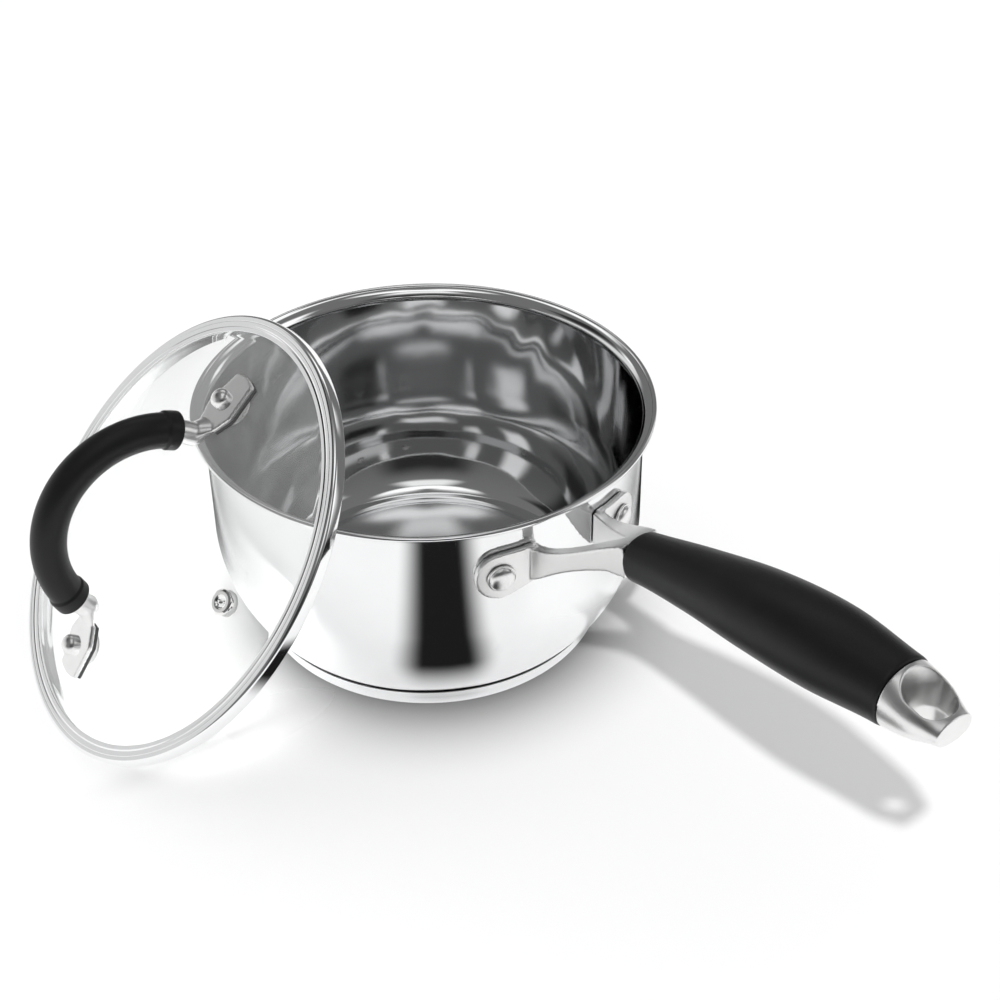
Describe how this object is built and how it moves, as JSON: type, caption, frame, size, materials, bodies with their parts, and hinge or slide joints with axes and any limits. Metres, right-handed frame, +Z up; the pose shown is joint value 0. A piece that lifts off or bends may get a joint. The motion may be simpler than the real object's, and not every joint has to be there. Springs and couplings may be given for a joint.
{
  "type": "saucepan with glass lid",
  "caption": "Steel saucepan with a long riveted handle and a domed glass lid that leans on its rim.",
  "frame": {"origin": "on the pan's axis, at the flat underside of the base that the pan rests on", "axes": "+Z up along the pan's axis, +X out along the long handle, +Y to the handle's left seen from above"},
  "size_m": [0.3759, 0.2532, 0.1372],
  "materials": {
    "mirror_steel": "mirror polished stainless steel",
    "satin_steel": "bead blasted satin stainless steel",
    "aluminium_core": "pressed aluminium",
    "soft_black_grip": "matte soft touch",
    "silicone_pad": "matte silicone",
    "clear_glass": "clear tempered glass"
  },
  "bodies": {
    "pan": {"pan_body": "mirror_steel", "base_core": "aluminium_core", "base_cap": "mirror_steel", "handle_fork": "satin_steel", "handle_grip": "soft_black_grip", "hang_loop": "satin_steel", "handle_rivet_left": "satin_steel", "handle_rivet_right": "satin_steel"},
    "lid": {"lid_glass": "clear_glass", "lid_band": "mirror_steel", "vent_eyelet": "satin_steel", "vent_washer": "satin_steel", "lid_handle_bar": "satin_steel", "lid_handle_sleeve": "soft_black_grip", "lid_rivet_upper": "satin_steel", "lid_rivet_lower": "satin_steel", "lid_gasket_upper": "silicone_pad", "lid_gasket_lower": "silicone_pad", "lid_washer_upper": "satin_steel", "lid_washer_lower": "satin_steel"}
  },
  "joints": [
    {"name": "lid_lift", "type": "slide", "parent": "pan", "child": "lid", "axis": [0, 0, 1], "range_m": [0, 0.12]}
  ]
}
